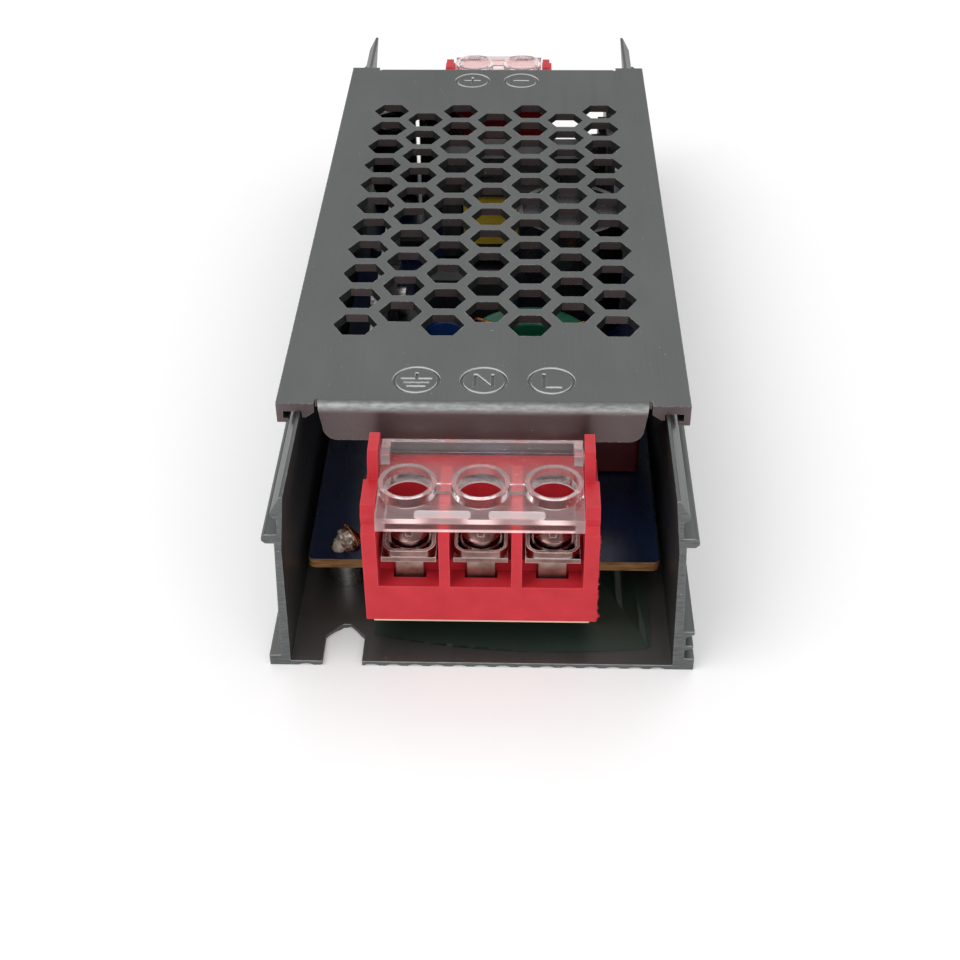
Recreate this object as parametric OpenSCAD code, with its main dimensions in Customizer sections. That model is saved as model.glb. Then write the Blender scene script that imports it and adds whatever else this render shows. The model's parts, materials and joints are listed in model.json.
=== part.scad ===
// Slim AC to DC converter: a ribbed U channel with a vented cover, a board of
// power parts inside, and a screw terminal block with a clear hinged flap at each end.
// +Z is up, the length runs along Y, and the AC end is at -Y.

/* [Body] */
// Overall width across the feet of the channel
body_w = 57.8; // [56:0.2:60]
// Overall length of the channel
body_l = 150; // [148:1:162]
// Overall height to the top of the cover
body_h = 30.7; // [30.2:0.1:32]

/* [Channel] */
// Thickness of the channel floor
floor_t = 0.8; // [0.7:0.1:1.2]
// How far the feet stand out past the inner faces of the walls
foot_out = 2.9; // [2.6:0.1:3.2]
// Wall thickness at the floor
wall_low_t = 1.3; // [1.1:0.1:1.5]
// Wall thickness under the shelf
wall_high_t = 0.9; // [0.8:0.1:1.1]
// How far the walls lean inward up to the shelf
wall_lean = 0.5; // [0.2:0.05:0.7]
// Height of the underside of the side shelf
shelf_z = 21.8; // [20.8:0.1:22.2]
// Thickness of the side shelf
shelf_t = 1.5; // [1.2:0.1:1.8]
// How far the shelf stays inside the width of the feet
shelf_inset = 0.9; // [0.6:0.1:1.2]
// How far the walls lean inward above the shelf
rail_lean = 0.9; // [0.7:0.05:1.1]
// Height of the barbed head on each wall
barb_h = 2.9; // [2.6:0.1:3.2]
// How far the barb stands out past the wall face at the shelf
barb_out = 1; // [0.9:0.05:1.1]
// Distance between the grooves of the underside
groove_pitch = 3; // [2.6:0.1:3.4]
// Depth of the grooves of the underside
groove_depth = 0.3; // [0.2:0.05:0.4]
// Width of the open mounting slots
slot_w = 5.4; // [4.4:0.1:6]
// Length of the straight sides of the mounting slots
slot_straight = 5; // [4.6:0.1:5.6]
// Length of the pointed end of the mounting slots
slot_point = 2.3; // [2:0.1:3]
// Distance of the mounting slots from the middle plane
slot_x = 19; // [17:0.1:19.6]

/* [Cover] */
// Sheet thickness of the cover
cover_t = 1.3; // [1:0.1:1.5]
// Distance from the channel end to the end of the cover
cover_setback = 18.6; // [18.2:0.1:19.4]
// How far the legs of the cover stay inside the width of the feet
cover_inset = 1; // [0.8:0.05:1.1]
// Height of the outer legs of the cover
leg_h = 3.1; // [2.9:0.1:3.3]
// Thickness of the outer legs of the cover
leg_t = 0.9; // [0.8:0.05:1]
// Gap between the bent flaps and the wall tops on each side
flap_side_gap = 2.15; // [1.5:0.05:4]
// Height of the bent flaps, from the top of the cover
flap_h = 5.8; // [5:0.1:6.4]
// Outer radius of the bend
bend_r = 1.5; // [1.4:0.1:2]
// How far the flap face stands in front of the cover end
flap_out = 0.3; // [0.1:0.1:1]
// Distance between neighbouring vents of one column
vent_pitch = 7.3; // [7:0.02:7.5]
// Corner radius of a hexagonal vent
vent_r = 3.2; // [2.6:0.05:3.3]
// Distance from the cover end to the first row of vents
vent_margin = 18.6; // [17:0.1:21]
// Radius of the rings round the terminal marks
mark_r = 3.3; // [3:0.1:3.8]
// Distance between neighbouring marks
mark_pitch = 9.25; // [9:0.05:9.7]
// Width of the pressed lines of the marks
mark_line = 0.45; // [0.3:0.05:0.6]
// Depth of the pressed lines of the marks
mark_depth = 0.3; // [0.15:0.05:0.4]
// Distance from the cover end to the marks
mark_back = 5.9; // [5.4:0.1:6.4]

/* [Board] */
// Thickness of the circuit board
board_t = 1.6; // [1.2:0.2:1.8]
// Gap between the floor and the board
board_gap = 4.5; // [4.2:0.1:4.8]
// Gap between the circuit board and each wall
board_side_gap = 1.1; // [0.9:0.1:1.6]
// Distance from the channel end to the main edge of the board
board_setback = 14.2; // [13:0.1:14.8]
// Distance from the channel end to the edge of the board tongue
tongue_setback = 3.4; // [2.8:0.1:4]
// Thickness of the insulating sheet
sheet_t = 0.3; // [0.2:0.05:0.4]
// Gap between the insulating sheet and each wall
sheet_side_gap = 2.6; // [2.1:0.1:3.6]
// Radius of a board post
post_r = 2.6; // [2.3:0.1:2.8]
// Shank radius of the board screws
board_screw_r = 1.45; // [1.2:0.05:1.5]
// Distance of the end posts from the board's side
post_inset = 5; // [4.3:0.1:5.3]
// Distance from the channel end to the end posts
post_y = 17.7; // [17.2:0.1:18.4]

/* [Terminals] */
// Distance between neighbouring poles
pole_pitch = 9.5; // [9.2:0.1:9.7]
// Distance from the channel end to the front face of a block
block_setback = 2; // [1.8:0.1:2.2]
// Depth of a block
block_d = 14.5; // [14.3:0.1:14.7]
// Height of the front sill of a block
sill_h = 6; // [5.4:0.1:6.2]
// Thickness of the end walls of a block
end_wall_t = 1.9; // [1.7:0.05:2.1]
// Thickness of the partitions between poles
partition_t = 1.4; // [1.2:0.05:1.6]
// Distance from the block face to the screw axes
screw_y = 4.8; // [4.6:0.1:4.9]
// Height of the flap plate above the board
flap_plate_z = 17.4; // [17.3:0.1:17.6]
// Thickness of the flap plate
flap_plate_t = 1.2; // [1:0.1:1.3]
// Outer radius of the screwdriver collars
collar_r = 3.8; // [3.6:0.05:3.85]
// Wall thickness of the screwdriver collars
collar_t = 0.65; // [0.5:0.05:0.8]
// Distance from the block face to the hinge axis of the flap
hinge_y = 11.5; // [11.4:0.1:11.6]
// Height of the hinge axis above the board
hinge_z = 19; // [18.9:0.1:19.1]
// Thickness of the rear wall of a block
rear_wall_t = 1.4; // [1.2:0.1:1.5]
// Height of the rib along the back of the flap, above the plate
flap_rib_h = 1.6; // [1.5:0.1:1.8]
// Thickness of that rib
flap_rib_t = 0.7; // [0.5:0.1:1]
// Radius of the hinge pegs
peg_r = 1; // [0.8:0.05:1.1]
// Shank radius of the terminal screws
screw_r = 1.7; // [1.5:0.05:1.75]
// Rim radius of the terminal screw heads
head_r = 2.8; // [2.5:0.05:2.9]
// Side of the square wire clamps
clamp_w = 7.3; // [7:0.05:7.4]
// How far the wire clamps stand off their contacts
clamp_gap = 0.8; // [0:0.05:0.9]

/* [Power parts] */
// Radius of the round fuse
fuse_r = 4.2; // [3.8:0.1:4.6]
// Height of the round fuse
fuse_h = 7.8; // [6:0.1:9]
// Radius of the varistor disc
varistor_r = 5.2; // [4.5:0.1:5.6]
// Radius of the thermistor disc
thermistor_r = 5; // [4.5:0.1:5.4]
// Radius of the safety capacitor discs
safety_r = 4.2; // [3.5:0.1:4.3]
// Width of the dark red film capacitor
film_w = 18; // [15:0.5:18.5]
// Depth of the dark red film capacitor
film_d = 8; // [6:0.5:9]
// Height of the dark red film capacitor
film_h = 14; // [10:0.5:16]
// Outer radius of the filter choke core
choke_r = 10.4; // [9.5:0.1:10.6]
// Height of the filter choke core
choke_h = 9; // [7:0.5:11]
// Thickness of the wire on the ring cores
coil_wire = 0.9; // [0.7:0.05:1]
// Radius of the bulk capacitor
bulk_r = 9; // [8:0.1:9.2]
// Gap between the bulk capacitor and the cover
bulk_top_gap = 1.8; // [1.2:0.1:4]
// Width of the transformer core
transformer_w = 25; // [23:0.5:26]
// Depth of the transformer core
transformer_d = 8; // [7:0.5:9]
// Depth of the transformer's bobbin
bobbin_d = 18.4; // [17:0.1:19]
// Gap between the transformer core and the cover
transformer_top_gap = 1.6; // [1.2:0.1:4]
// Gap between the two heat plates and the cover
plate_top_gap = 2.8; // [1.4:0.1:4]
// Length of the primary heat plate
primary_plate_l = 44; // [36:1:46]
// Length of the output heat plate
output_plate_l = 20; // [16:1:22]
// Thickness of the two heat plates
plate_t = 1.5; // [1.2:0.1:1.8]
// Outer radius of the output inductor core
inductor_r = 6.2; // [5.5:0.1:6.4]
// Height of the output inductor core
inductor_h = 7; // [6:0.5:9]
// Radius of an output capacitor
output_cap_r = 4.4; // [4:0.1:4.6]
// Height of an output capacitor
output_cap_h = 17; // [12:0.5:18]

/* [Hidden] */
$fn = 48;

// Poles of the AC block and of the DC block
AC_POLES = 3;
DC_POLES = 2;

// Sizes that follow from the body and the sheet
end_y = -body_l / 2;
wall_in = body_w / 2 - foot_out;
wall_top = wall_in - wall_lean;
rail_in = wall_top - rail_lean;
shelf_out = body_w / 2 - shelf_inset;
rail_z = body_h - cover_t;
barb_z = rail_z - barb_h;
barb_flat = 0.5;
shelf_chamfer = shelf_t * 0.3;
plain_foot_h = 1.8;
fin_stack_h = 7.1;
fin_root = body_w / 2 - 1.4;
fin_tip = body_w / 2 - 0.3;
cover_l = body_l - 2 * cover_setback;
cover_w = body_w - 2 * cover_inset;
flap_w = 2 * (rail_in - flap_side_gap);
board_z = floor_t + board_gap;
board_top = board_z + board_t;
board_w = 2 * (wall_in - board_side_gap);
sheet_w = 2 * (wall_in - sheet_side_gap);

// Sizes that follow from the poles
pedestal_z = sill_h + 1.7;
contact_t = 0.8;
contact_top = pedestal_z + contact_t;
clamp_t = 0.8;
clamp_top = contact_top + clamp_t;
rear_wall_y = block_d - rear_wall_t;
rear_wall_h = flap_plate_z - 1;
pin_y = block_d - 4.1;
pin_r = 0.6;
fit_gap = 0.15;
running_gap = 0.05;
flap_top = flap_plate_z + flap_plate_t;
ear_inset = 0.55;

// Centre distances of the vents
vent_column = vent_pitch * sqrt(3) / 2;
vent_rows = 2 * floor((cover_l - 2 * vent_margin) / vent_pitch);
vent_start = -vent_rows * vent_pitch / 4;

// Heights of the tall parts, from the room between the board and the cover
room_h = rail_z - board_top;
core_lift = 1.2;
bulk_h = room_h - bulk_top_gap;
transformer_h = room_h - core_lift - transformer_top_gap;
plate_h = room_h - plate_top_gap;

// The power parts stand in rows across the board, and the rows share the spare length evenly
choke_out = choke_r + coil_wire;
inductor_out = inductor_r + coil_wire;
ROW_D = [2 * fuse_r, film_d, 2 * choke_out, 2 * bulk_r, bobbin_d, 2 * inductor_out];
block_back = block_setback + block_d;
row_gap = (body_l - 2 * block_back - depth_before(len(ROW_D))) / (len(ROW_D) + 1);
function depth_before(i) = i == 0 ? 0 : ROW_D[i - 1] + depth_before(i - 1);
function row_y(i) = block_back + (i + 1) * row_gap + depth_before(i) + ROW_D[i] / 2;

// Where the power parts stand: [x, distance from the AC end]
half_board = board_w / 2;
post_x = half_board - post_inset;
part_gap = 0.6;
screw_head_r = 2.7;
lead_lift = 1.5;
ring_bore = 0.5;
core_leg = transformer_w * 0.14;
core_yoke = transformer_h * 0.19;
bobbin_t = 1;
package_t = 4.4;
package_tab_t = 1.3;
package_lift = 2;
package_hole_z = package_lift + 11.6;
optocoupler_w = 4.6;
FUSE = [-10, row_y(0)];
VARISTOR = [1, row_y(0)];
THERMISTOR = [-10, row_y(1)];
FILM = [half_board - 2 - film_w / 2, row_y(1) + 1.8];
CHOKE = [6.5, row_y(2)];
SAFETY = [[-9.5, row_y(2) - 8], [-7.2, row_y(2) + 8]];
PRIMARY_PLATE = [-16.8, row_y(2) + 6];
INNER_POST = [half_board - 4.1, row_y(2) - choke_out + screw_head_r + 0.2];
BULK = [half_board - 2.7 - bulk_r, row_y(3)];
BRIDGE = [-5.6, row_y(3) - 7.2];
CHIP = [-5.6, row_y(3) + 3.5];
TRANSFORMER = [3, row_y(4)];
OPTOCOUPLER = turned([INNER_POST[0] - screw_head_r - part_gap - optocoupler_w / 2, INNER_POST[1]]);
OUTPUT_PLATE = [half_board - 3.5, body_l - post_y - screw_head_r - part_gap - output_plate_l / 2];
INDUCTOR = [OUTPUT_PLATE[0] - plate_t / 2 - package_t - part_gap - inductor_out, row_y(5)];
outer_cap_x = part_gap + output_cap_r - half_board;
OUTPUT_CAPS = [[outer_cap_x, row_y(5)], [outer_cap_x + 2 * output_cap_r + part_gap, row_y(5)]];

function pole_x(poles, i) = (i - (poles - 1) / 2) * pole_pitch;
function mark_x(poles, i) = (i - (poles - 1) / 2) * mark_pitch;
function inner_w(poles) = poles * pole_pitch - partition_t;
function on_board(p) = [p[0], p[1] + end_y, board_top];
function turned(p) = [-p[0], body_l - p[1]];
POSTS = [[-post_x, post_y], turned([-post_x, post_y]), INNER_POST, turned(INNER_POST)];
function pins(p, dx, dy) = [[p[0] - dx, p[1] - dy], [p[0] + dx, p[1] + dy]];
LEADS = concat(
  pins(FUSE, 2.5, 0), pins(VARISTOR, 2.5, 0), pins(THERMISTOR, 2.5, 0), pins(FILM, 7.5, 0),
  pins(CHOKE, 4, 9), pins(CHOKE, 4, -9), pins(SAFETY[0], 2.5, 0), pins(SAFETY[1], 2.5, 0),
  pins(BRIDGE, 1.9, 0), pins(BRIDGE, 5.7, 0), pins(BULK, 3.75, 0), pins(CHIP, 3.8, 3),
  pins(CHIP, 3.8, -3), pins(TRANSFORMER, 7.5, transformer_d), pins(TRANSFORMER, 7.5, -transformer_d),
  pins(OPTOCOUPLER, 1.3, 3), pins(INDUCTOR, 0, 6), pins(OUTPUT_CAPS[0], 2.5, 0),
  pins(OUTPUT_CAPS[1], 2.5, 0)
);

// Shared placing and shapes

module along_y(length) {
  rotate([90, 0, 0]) linear_extrude(length, center = true) children();
}

module along_x(length) {
  rotate([90, 0, 90]) linear_extrude(length, center = true) children();
}

module at_ac_block() {
  translate([0, end_y + block_setback, board_top]) children();
}

module at_dc_block() {
  rotate([0, 0, 180]) at_ac_block() children();
}

module both_sides() {
  children();
  mirror([1, 0, 0]) children();
}

module both_ends() {
  children();
  rotate([0, 0, 180]) children();
}

module rounded_square(w, d, r) {
  square([w - 2 * r, d], center = true);
  square([w, d - 2 * r], center = true);
  for (x = [-1, 1], y = [-1, 1])
    translate([x * (w / 2 - r), y * (d / 2 - r)]) circle(r);
}

module block(w, d, h) {
  translate([-w / 2, -d / 2, 0]) cube([w, d, h]);
}

// Channel

// Outer and inner faces of one wall above its foot, from the foot over the rail to the floor
function wall_points() = [
  [wall_top + wall_high_t, shelf_z], [shelf_out - shelf_chamfer, shelf_z],
  [shelf_out, shelf_z + shelf_chamfer], [shelf_out, shelf_z + shelf_t - shelf_chamfer],
  [shelf_out - shelf_chamfer, shelf_z + shelf_t], [wall_top + 0.4, shelf_z + shelf_t],
  [wall_top + 0.25, barb_z - 0.5], [wall_top + barb_out - 0.4, barb_z - 0.5],
  [wall_top + barb_out, barb_z], [wall_top + barb_out, barb_z + 0.3],
  [rail_in + barb_flat, rail_z], [rail_in, rail_z],
  [wall_top, shelf_z - 1], [wall_in, floor_t]
];
plain_foot = [
  [body_w / 2, 0], [body_w / 2, plain_foot_h], [wall_in + wall_low_t, plain_foot_h]
];
finned_foot = [
  [body_w / 2, 0], [body_w / 2, 2.1], [fin_root, 2.1], [fin_root, 3.7], [fin_tip, 4],
  [fin_tip, 4.5], [fin_root, 4.5], [fin_root, 6], [fin_tip, 6.5],
  [fin_tip, fin_stack_h], [wall_in + wall_low_t - 0.2, fin_stack_h]
];

function mirrored(points) = [for (i = [len(points) - 1 : -1 : 0]) [-points[i][0], points[i][1]]];

module channel_section() {
  polygon(concat(finned_foot, wall_points(), mirrored(concat(plain_foot, wall_points()))));
}

module channel_grooves() {
  groove_half = groove_pitch * 0.36;
  groove_r = (groove_half * groove_half + groove_depth * groove_depth) / (2 * groove_depth);
  groove_count = floor((wall_in - groove_half) / groove_pitch);
  for (i = [-groove_count : groove_count])
    translate([i * groove_pitch, groove_depth - groove_r]) circle(groove_r);
}

module mounting_slot() {
  tip = 0.5;
  translate([-slot_x, end_y, -1]) linear_extrude(floor_t + 2) polygon([
    [-slot_w / 2, -1], [slot_w / 2, -1], [slot_w / 2, slot_straight],
    [tip, slot_straight + slot_point], [-tip, slot_straight + slot_point],
    [-slot_w / 2, slot_straight]
  ]);
}

module base_channel() {
  color("dimgray") difference() {
    along_y(body_l) channel_section();
    along_y(body_l + 2) channel_grooves();
    both_ends() mounting_slot();
  }
}

// Cover

module cover_section() {
  lip = 0.7;
  leg_in = cover_w / 2 - leg_t;
  translate([-cover_w / 2, rail_z]) square([cover_w, cover_t]);
  both_sides() {
    translate([leg_in, body_h - leg_h]) square([leg_t, leg_h]);
    translate([leg_in - lip, body_h - leg_h]) square([leg_t + lip, 0.7]);
    polygon([
      [rail_in - fit_gap, rail_z + 0.1], [rail_in - fit_gap, rail_z - 1],
      [rail_in - fit_gap - 0.5, rail_z - 1], [rail_in - fit_gap - 2, rail_z + 0.1]
    ]);
  }
}

module flap_section() {
  inner_r = bend_r - cover_t;
  difference() {
    union() {
      translate([0, body_h - flap_h]) square([cover_t, flap_h - bend_r]);
      translate([bend_r, body_h - cover_t]) square([flap_out + 2, cover_t]);
      translate([bend_r, body_h - bend_r]) circle(bend_r);
    }
    translate([bend_r, body_h - bend_r]) circle(inner_r);
    translate([bend_r, body_h - bend_r - 5]) square([10, 5 + inner_r]);
    translate([cover_t, body_h - bend_r - 5]) square([10, 5]);
  }
}

module flap_outline() {
  corner_r = 2;
  taper = 0.7;
  low = body_h - flap_h;
  half = flap_w / 2;
  polygon([
    [-half, body_h + 1], [half, body_h + 1], [half - taper, low + corner_r],
    [half - taper - corner_r, low], [-half + taper + corner_r, low], [-half + taper, low + corner_r]
  ]);
  both_sides() translate([half - taper - corner_r, low + corner_r]) circle(corner_r);
}

module end_flap() {
  intersection() {
    translate([0, end_y + cover_setback - flap_out, 0]) along_x(flap_w + 4) flap_section();
    translate([0, end_y + cover_setback, 0]) along_y(12) flap_outline();
  }
}

// The flap is cut free of the cover beside its bend
module flap_relief() {
  slit = 0.3;
  relief_w = flap_w + 2 * slit;
  translate([-relief_w / 2, end_y + cover_setback - 1, body_h - leg_h])
    cube([relief_w, 1 + bend_r - flap_out, leg_h + 1]);
}

module vents() {
  for (i = [0 : vent_rows]) {
    columns = i % 2 == 0 ? [-3, -1, 1, 3] : [-2, 0, 2];
    for (c = columns)
      translate([c * vent_column, vent_start + i * vent_pitch / 2, rail_z - 1])
        cylinder(r = vent_r, h = cover_t + 2, $fn = 6);
  }
}

module stroke(x, y, w, d) {
  translate([x, y]) square([w, d], center = true);
}

module letter_n() {
  half = 1.2;
  top = 1.6;
  side = mark_line * 0.6;
  both_sides() stroke(half, 0, mark_line, 2 * top);
  polygon([[-half - side, top], [-half + side, top], [half + side, -top], [half - side, -top]]);
}

module letter_l() {
  stroke(-1, 0, mark_line, 3.6);
  stroke(0.1, -1.6, 2.6, mark_line);
}

module sign_earth() {
  stroke(0, 1.1, mark_line, 1.6);
  stroke(0, 0.3, 4.3, mark_line);
  stroke(0, -0.65, 3.5, mark_line);
  stroke(0, -1.55, 2.6, mark_line);
}

module sign_minus() {
  stroke(0, 0, 3, mark_line);
}

module sign_plus() {
  sign_minus();
  stroke(0, 0, mark_line, 3);
}

module mark_at(poles, i) {
  translate([mark_x(poles, i), end_y + cover_setback + mark_back, body_h - mark_depth])
    linear_extrude(1) {
      difference() {
        circle(mark_r);
        circle(mark_r - mark_line);
      }
      children();
    }
}

module marks() {
  mark_at(AC_POLES, 0) sign_earth();
  mark_at(AC_POLES, 1) letter_n();
  mark_at(AC_POLES, 2) letter_l();
  rotate([0, 0, 180]) {
    mark_at(DC_POLES, 0) sign_minus();
    mark_at(DC_POLES, 1) sign_plus();
  }
}

module top_cover() {
  color("gray") difference() {
    union() {
      difference() {
        along_y(cover_l) cover_section();
        both_ends() flap_relief();
      }
      both_ends() end_flap();
    }
    vents();
    marks();
  }
}

// Board and what carries it

module sheet_end() {
  inset = 2.2;
  corner_r = 1;
  bow_r = 97;
  bow_x = 9;
  step_y = 21;
  left = -15;
  right = sheet_w / 2;
  corner_y = inset + 2 * corner_r;
  translate([0, end_y]) intersection() {
    translate([bow_x, inset + bow_r]) circle(bow_r);
    union() {
      translate([left, inset]) square([right - corner_r - left, step_y - inset]);
      translate([right - 2 * corner_r, corner_y])
        square([2 * corner_r, step_y - corner_y]);
      translate([right - corner_r, corner_y]) circle(corner_r);
    }
  }
}

module insulation_sheet() {
  hole_r = post_r + 0.6;
  color("darkgreen") translate([0, 0, floor_t]) linear_extrude(sheet_t) difference() {
    union() {
      square([sheet_w, body_l - 42], center = true);
      both_ends() sheet_end();
    }
    for (p = POSTS) translate([p[0], p[1] + end_y]) circle(hole_r);
  }
}

module board_tongue(poles) {
  side_in = 0.8;
  w = inner_w(poles) + 2 * (end_wall_t - side_in);
  translate([-w / 2, end_y + tongue_setback]) square([w, board_setback - tongue_setback + 1]);
}

module circuit_board() {
  corner_r = 1;
  pin_hole_r = pin_r + 0.1;
  color("midnightblue") difference() {
    translate([0, 0, board_z]) linear_extrude(board_t) {
      rounded_square(board_w, body_l - 2 * board_setback, corner_r);
      board_tongue(AC_POLES);
      rotate(180) board_tongue(DC_POLES);
    }
    for (p = POSTS) translate([p[0], p[1] + end_y, board_z - 1]) cylinder(r = 1.7, h = board_t + 2);
    at_ac_block() for (i = [0 : AC_POLES - 1])
      translate([pole_x(AC_POLES, i), pin_y, -board_t - 1]) cylinder(r = pin_hole_r, h = board_t + 2);
    at_dc_block() for (i = [0 : DC_POLES - 1])
      translate([pole_x(DC_POLES, i), pin_y, -board_t - 1]) cylinder(r = pin_hole_r, h = board_t + 2);
  }
}

module board_posts() {
  color("silver") for (p = POSTS) translate([p[0], p[1] + end_y, floor_t]) difference() {
    cylinder(r = post_r, h = board_gap);
    translate([0, 0, 0.6]) cylinder(r = 1.55, h = board_gap);
  }
}

module pan_screw(r, head, head_h, shank) {
  difference() {
    union() {
      translate([0, 0, -shank]) cylinder(r = r, h = shank + 0.1);
      intersection() {
        cylinder(r = head, h = head_h);
        translate([0, 0, head_h - 2.2 * head]) sphere(2.2 * head);
      }
    }
    for (a = [0, 90]) rotate(a) translate([0, 0, head_h * 0.55])
      block(head * 1.2, head * 0.3, head_h);
  }
}

module board_screws() {
  color("lightgray") for (i = [1 : 3]) translate(on_board(POSTS[i]))
    pan_screw(board_screw_r, screw_head_r, 1.9, board_t + 2.2);
}

module earth_joint() {
  dome_r = 2.4;
  dome_h = 3;
  color("tan") translate(on_board(POSTS[0])) {
    intersection() {
      translate([0, 0, dome_h - dome_r]) sphere(dome_r);
      cylinder(r = 3, h = dome_h + 1);
    }
    translate([0, 0, -board_t - 2]) cylinder(r = board_screw_r, h = board_t + 2.1);
  }
}

module solder_joints() {
  color("silver") for (p = LEADS) translate([p[0], p[1] + end_y, board_z - 1.1])
    cylinder(r1 = 0.4, r2 = 1, h = 1.1);
}

// Terminal blocks: y runs back from the block face, z up from the board

module end_wall_outline() {
  polygon([
    [0, 0], [0, flap_top - 3.6], [1, flap_top - 2.8], [0.7, flap_top - 1.3], [1.6, flap_top],
    [6.9, flap_top], [7.3, rear_wall_h], [block_d, rear_wall_h], [block_d, 0]
  ]);
}

module ear_outline() {
  ear_back = hinge_y + 1.9;
  ear_top = hinge_z + 3.2;
  root = rear_wall_h - 4;
  polygon([
    [6.2, root], [6.9, flap_top], [7.6, ear_top - 0.9], [8.5, ear_top], [ear_back - 1, ear_top],
    [ear_back, ear_top - 0.9], [ear_back + 0.7, rear_wall_h], [ear_back + 0.7, root]
  ]);
}

module end_wall(inside) {
  ear_t = end_wall_t - ear_inset;
  translate([inside / 2 + end_wall_t / 2, 0, 0]) along_x(end_wall_t) end_wall_outline();
  translate([inside / 2 + ear_t / 2, 0, 0]) along_x(ear_t) ear_outline();
}

module partition_outline() {
  top = flap_plate_z - 1.8;
  polygon([
    [0, 0], [0, top - 2.1], [1.8, top], [block_d - 1, top], [block_d - 1, 0]
  ]);
}

module terminal_block(poles) {
  inside = inner_w(poles);
  across = inside + 2 * end_wall_t;
  tab_slot = [4.4, 1.7];
  color("crimson") difference() {
    union() {
      translate([-across / 2, 0, 0]) cube([across, block_d, sill_h]);
      translate([-across / 2, 3.6, 0]) cube([across, block_d - 3.6, pedestal_z]);
      translate([-across / 2, rear_wall_y, 0]) cube([across, block_d - rear_wall_y, rear_wall_h]);
      both_sides() end_wall(inside);
      for (i = [1 : poles - 1])
        translate([pole_x(poles, i) - pole_pitch / 2, 0, 0]) along_x(partition_t) partition_outline();
    }
    for (i = [0 : poles - 1]) translate([pole_x(poles, i), 0, 0]) {
      translate([-tab_slot[0] / 2, 1.9, 2.4]) cube([tab_slot[0], tab_slot[1] + 0.01, pedestal_z]);
      translate([0, screw_y, 1.6]) cylinder(r = screw_r + 0.3, h = pedestal_z);
      translate([0, pin_y, -1]) cylinder(r = pin_r + 0.1, h = pedestal_z + 2);
    }
    both_sides() translate([inside / 2 - 1, hinge_y, hinge_z]) rotate([0, 90, 0])
      cylinder(r = peg_r + running_gap, h = 2.2);
  }
}

module contact() {
  half = 2.9;
  tab_half = 1.85;
  tab_y = 2.3;
  color("silver") difference() {
    union() {
      translate([-half, 3.6, pedestal_z]) cube([2 * half, rear_wall_y - 3.8, contact_t]);
      translate([-tab_half, tab_y, pedestal_z]) cube([2 * tab_half, 2, contact_t]);
      translate([-tab_half, tab_y, 2.8]) cube([2 * tab_half, contact_t, pedestal_z - 2.7]);
      translate([0, pin_y, -board_t - 1.3]) cylinder(r = pin_r, h = board_t + 1.4 + pedestal_z);
    }
    translate([0, screw_y, 0]) cylinder(r = screw_r + running_gap, h = contact_top + 1);
  }
}

module clamp() {
  dish = clamp_w - 0.2;
  dish_t = 0.5;
  color("gainsboro") translate([0, screw_y, contact_top + clamp_gap]) difference() {
    union() {
      block(clamp_w, clamp_w - 0.1, clamp_t);
      linear_extrude(clamp_t + 1) rounded_square(dish, dish, 1.8);
    }
    translate([0, 0, clamp_t]) linear_extrude(3) rounded_square(dish - 2 * dish_t, dish - 2 * dish_t, 1.3);
    translate([0, 0, -1]) cylinder(r = screw_r + running_gap, h = 4);
  }
}

module terminal_screw() {
  rim_t = 0.6;
  head_h = 1.8;
  color("whitesmoke") translate([0, screw_y, clamp_top + clamp_gap]) {
    translate([0, 0, -5.6]) cylinder(r = screw_r, h = 5.7);
    cylinder(r = head_r, h = rim_t);
    translate([0, 0, rim_t]) difference() {
      intersection() {
        translate([0, 0, -0.1]) cylinder(r = head_r - 0.25, h = head_h + 0.1);
        translate([0, 0, head_h - 5]) sphere(5);
      }
      for (a = [0, 90]) rotate(a) translate([0, 0, 0.7]) block(3.4, 0.8, 3);
      translate([0, 0, 1]) block(7, 0.8, 3);
    }
  }
}

module terminal_flap(poles) {
  half = inner_w(poles) / 2 - fit_gap;
  front = -1.2;
  skirt_z = flap_plate_z - 0.9;
  cheek_t = 1.2;
  back = hinge_y + 2.2;
  rib_h = flap_plate_t + flap_rib_h;
  collar_high = flap_top + 1.4;
  pad = [7.2, 1.45, 0.25];
  color("lightcyan", 0.5) {
    difference() {
      union() {
        translate([-half, front, flap_plate_z]) cube([2 * half, back - front, flap_plate_t]);
        translate([-half, front, skirt_z]) cube([2 * half, 0.8, flap_top - skirt_z]);
        translate([-half, back - flap_rib_t, flap_plate_z]) cube([2 * half, flap_rib_t, rib_h]);
        both_sides() {
          translate([half - cheek_t, front, skirt_z]) cube([cheek_t, 6, flap_top - skirt_z]);
          translate([half - cheek_t, hinge_y - 1.5, flap_plate_z])
            cube([cheek_t, back - hinge_y + 1.5, rib_h]);
          translate([half - 0.1, hinge_y, hinge_z]) rotate([0, 90, 0]) cylinder(r = peg_r, h = 1.15);
        }
        for (i = [0 : poles - 1]) translate([pole_x(poles, i), screw_y, flap_plate_z])
          cylinder(r = collar_r, h = collar_high - flap_plate_z);
        for (i = [1 : poles - 1]) translate([pole_x(poles, i) - pole_pitch / 2, 0, flap_top - 0.1]) {
          translate([0, screw_y, 0]) block(3, 1.7, 0.6);
          translate([0, front + pad[1] / 2, 0]) linear_extrude(pad[2] + 0.1)
            rounded_square(pad[0], pad[1], 0.5);
        }
      }
      for (i = [0 : poles - 1]) translate([pole_x(poles, i), screw_y, 0])
        cylinder(r = collar_r - collar_t, h = 40);
    }
  }
}

module ac_terminal_block() { at_ac_block() terminal_block(AC_POLES); }
module ac_terminal_flap() { at_ac_block() terminal_flap(AC_POLES); }
module dc_terminal_block() { at_dc_block() terminal_block(DC_POLES); }
module dc_terminal_flap() { at_dc_block() terminal_flap(DC_POLES); }

module ac_pole(i) { at_ac_block() translate([pole_x(AC_POLES, i), 0, 0]) children(); }
module dc_pole(i) { at_dc_block() translate([pole_x(DC_POLES, i), 0, 0]) children(); }

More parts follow.
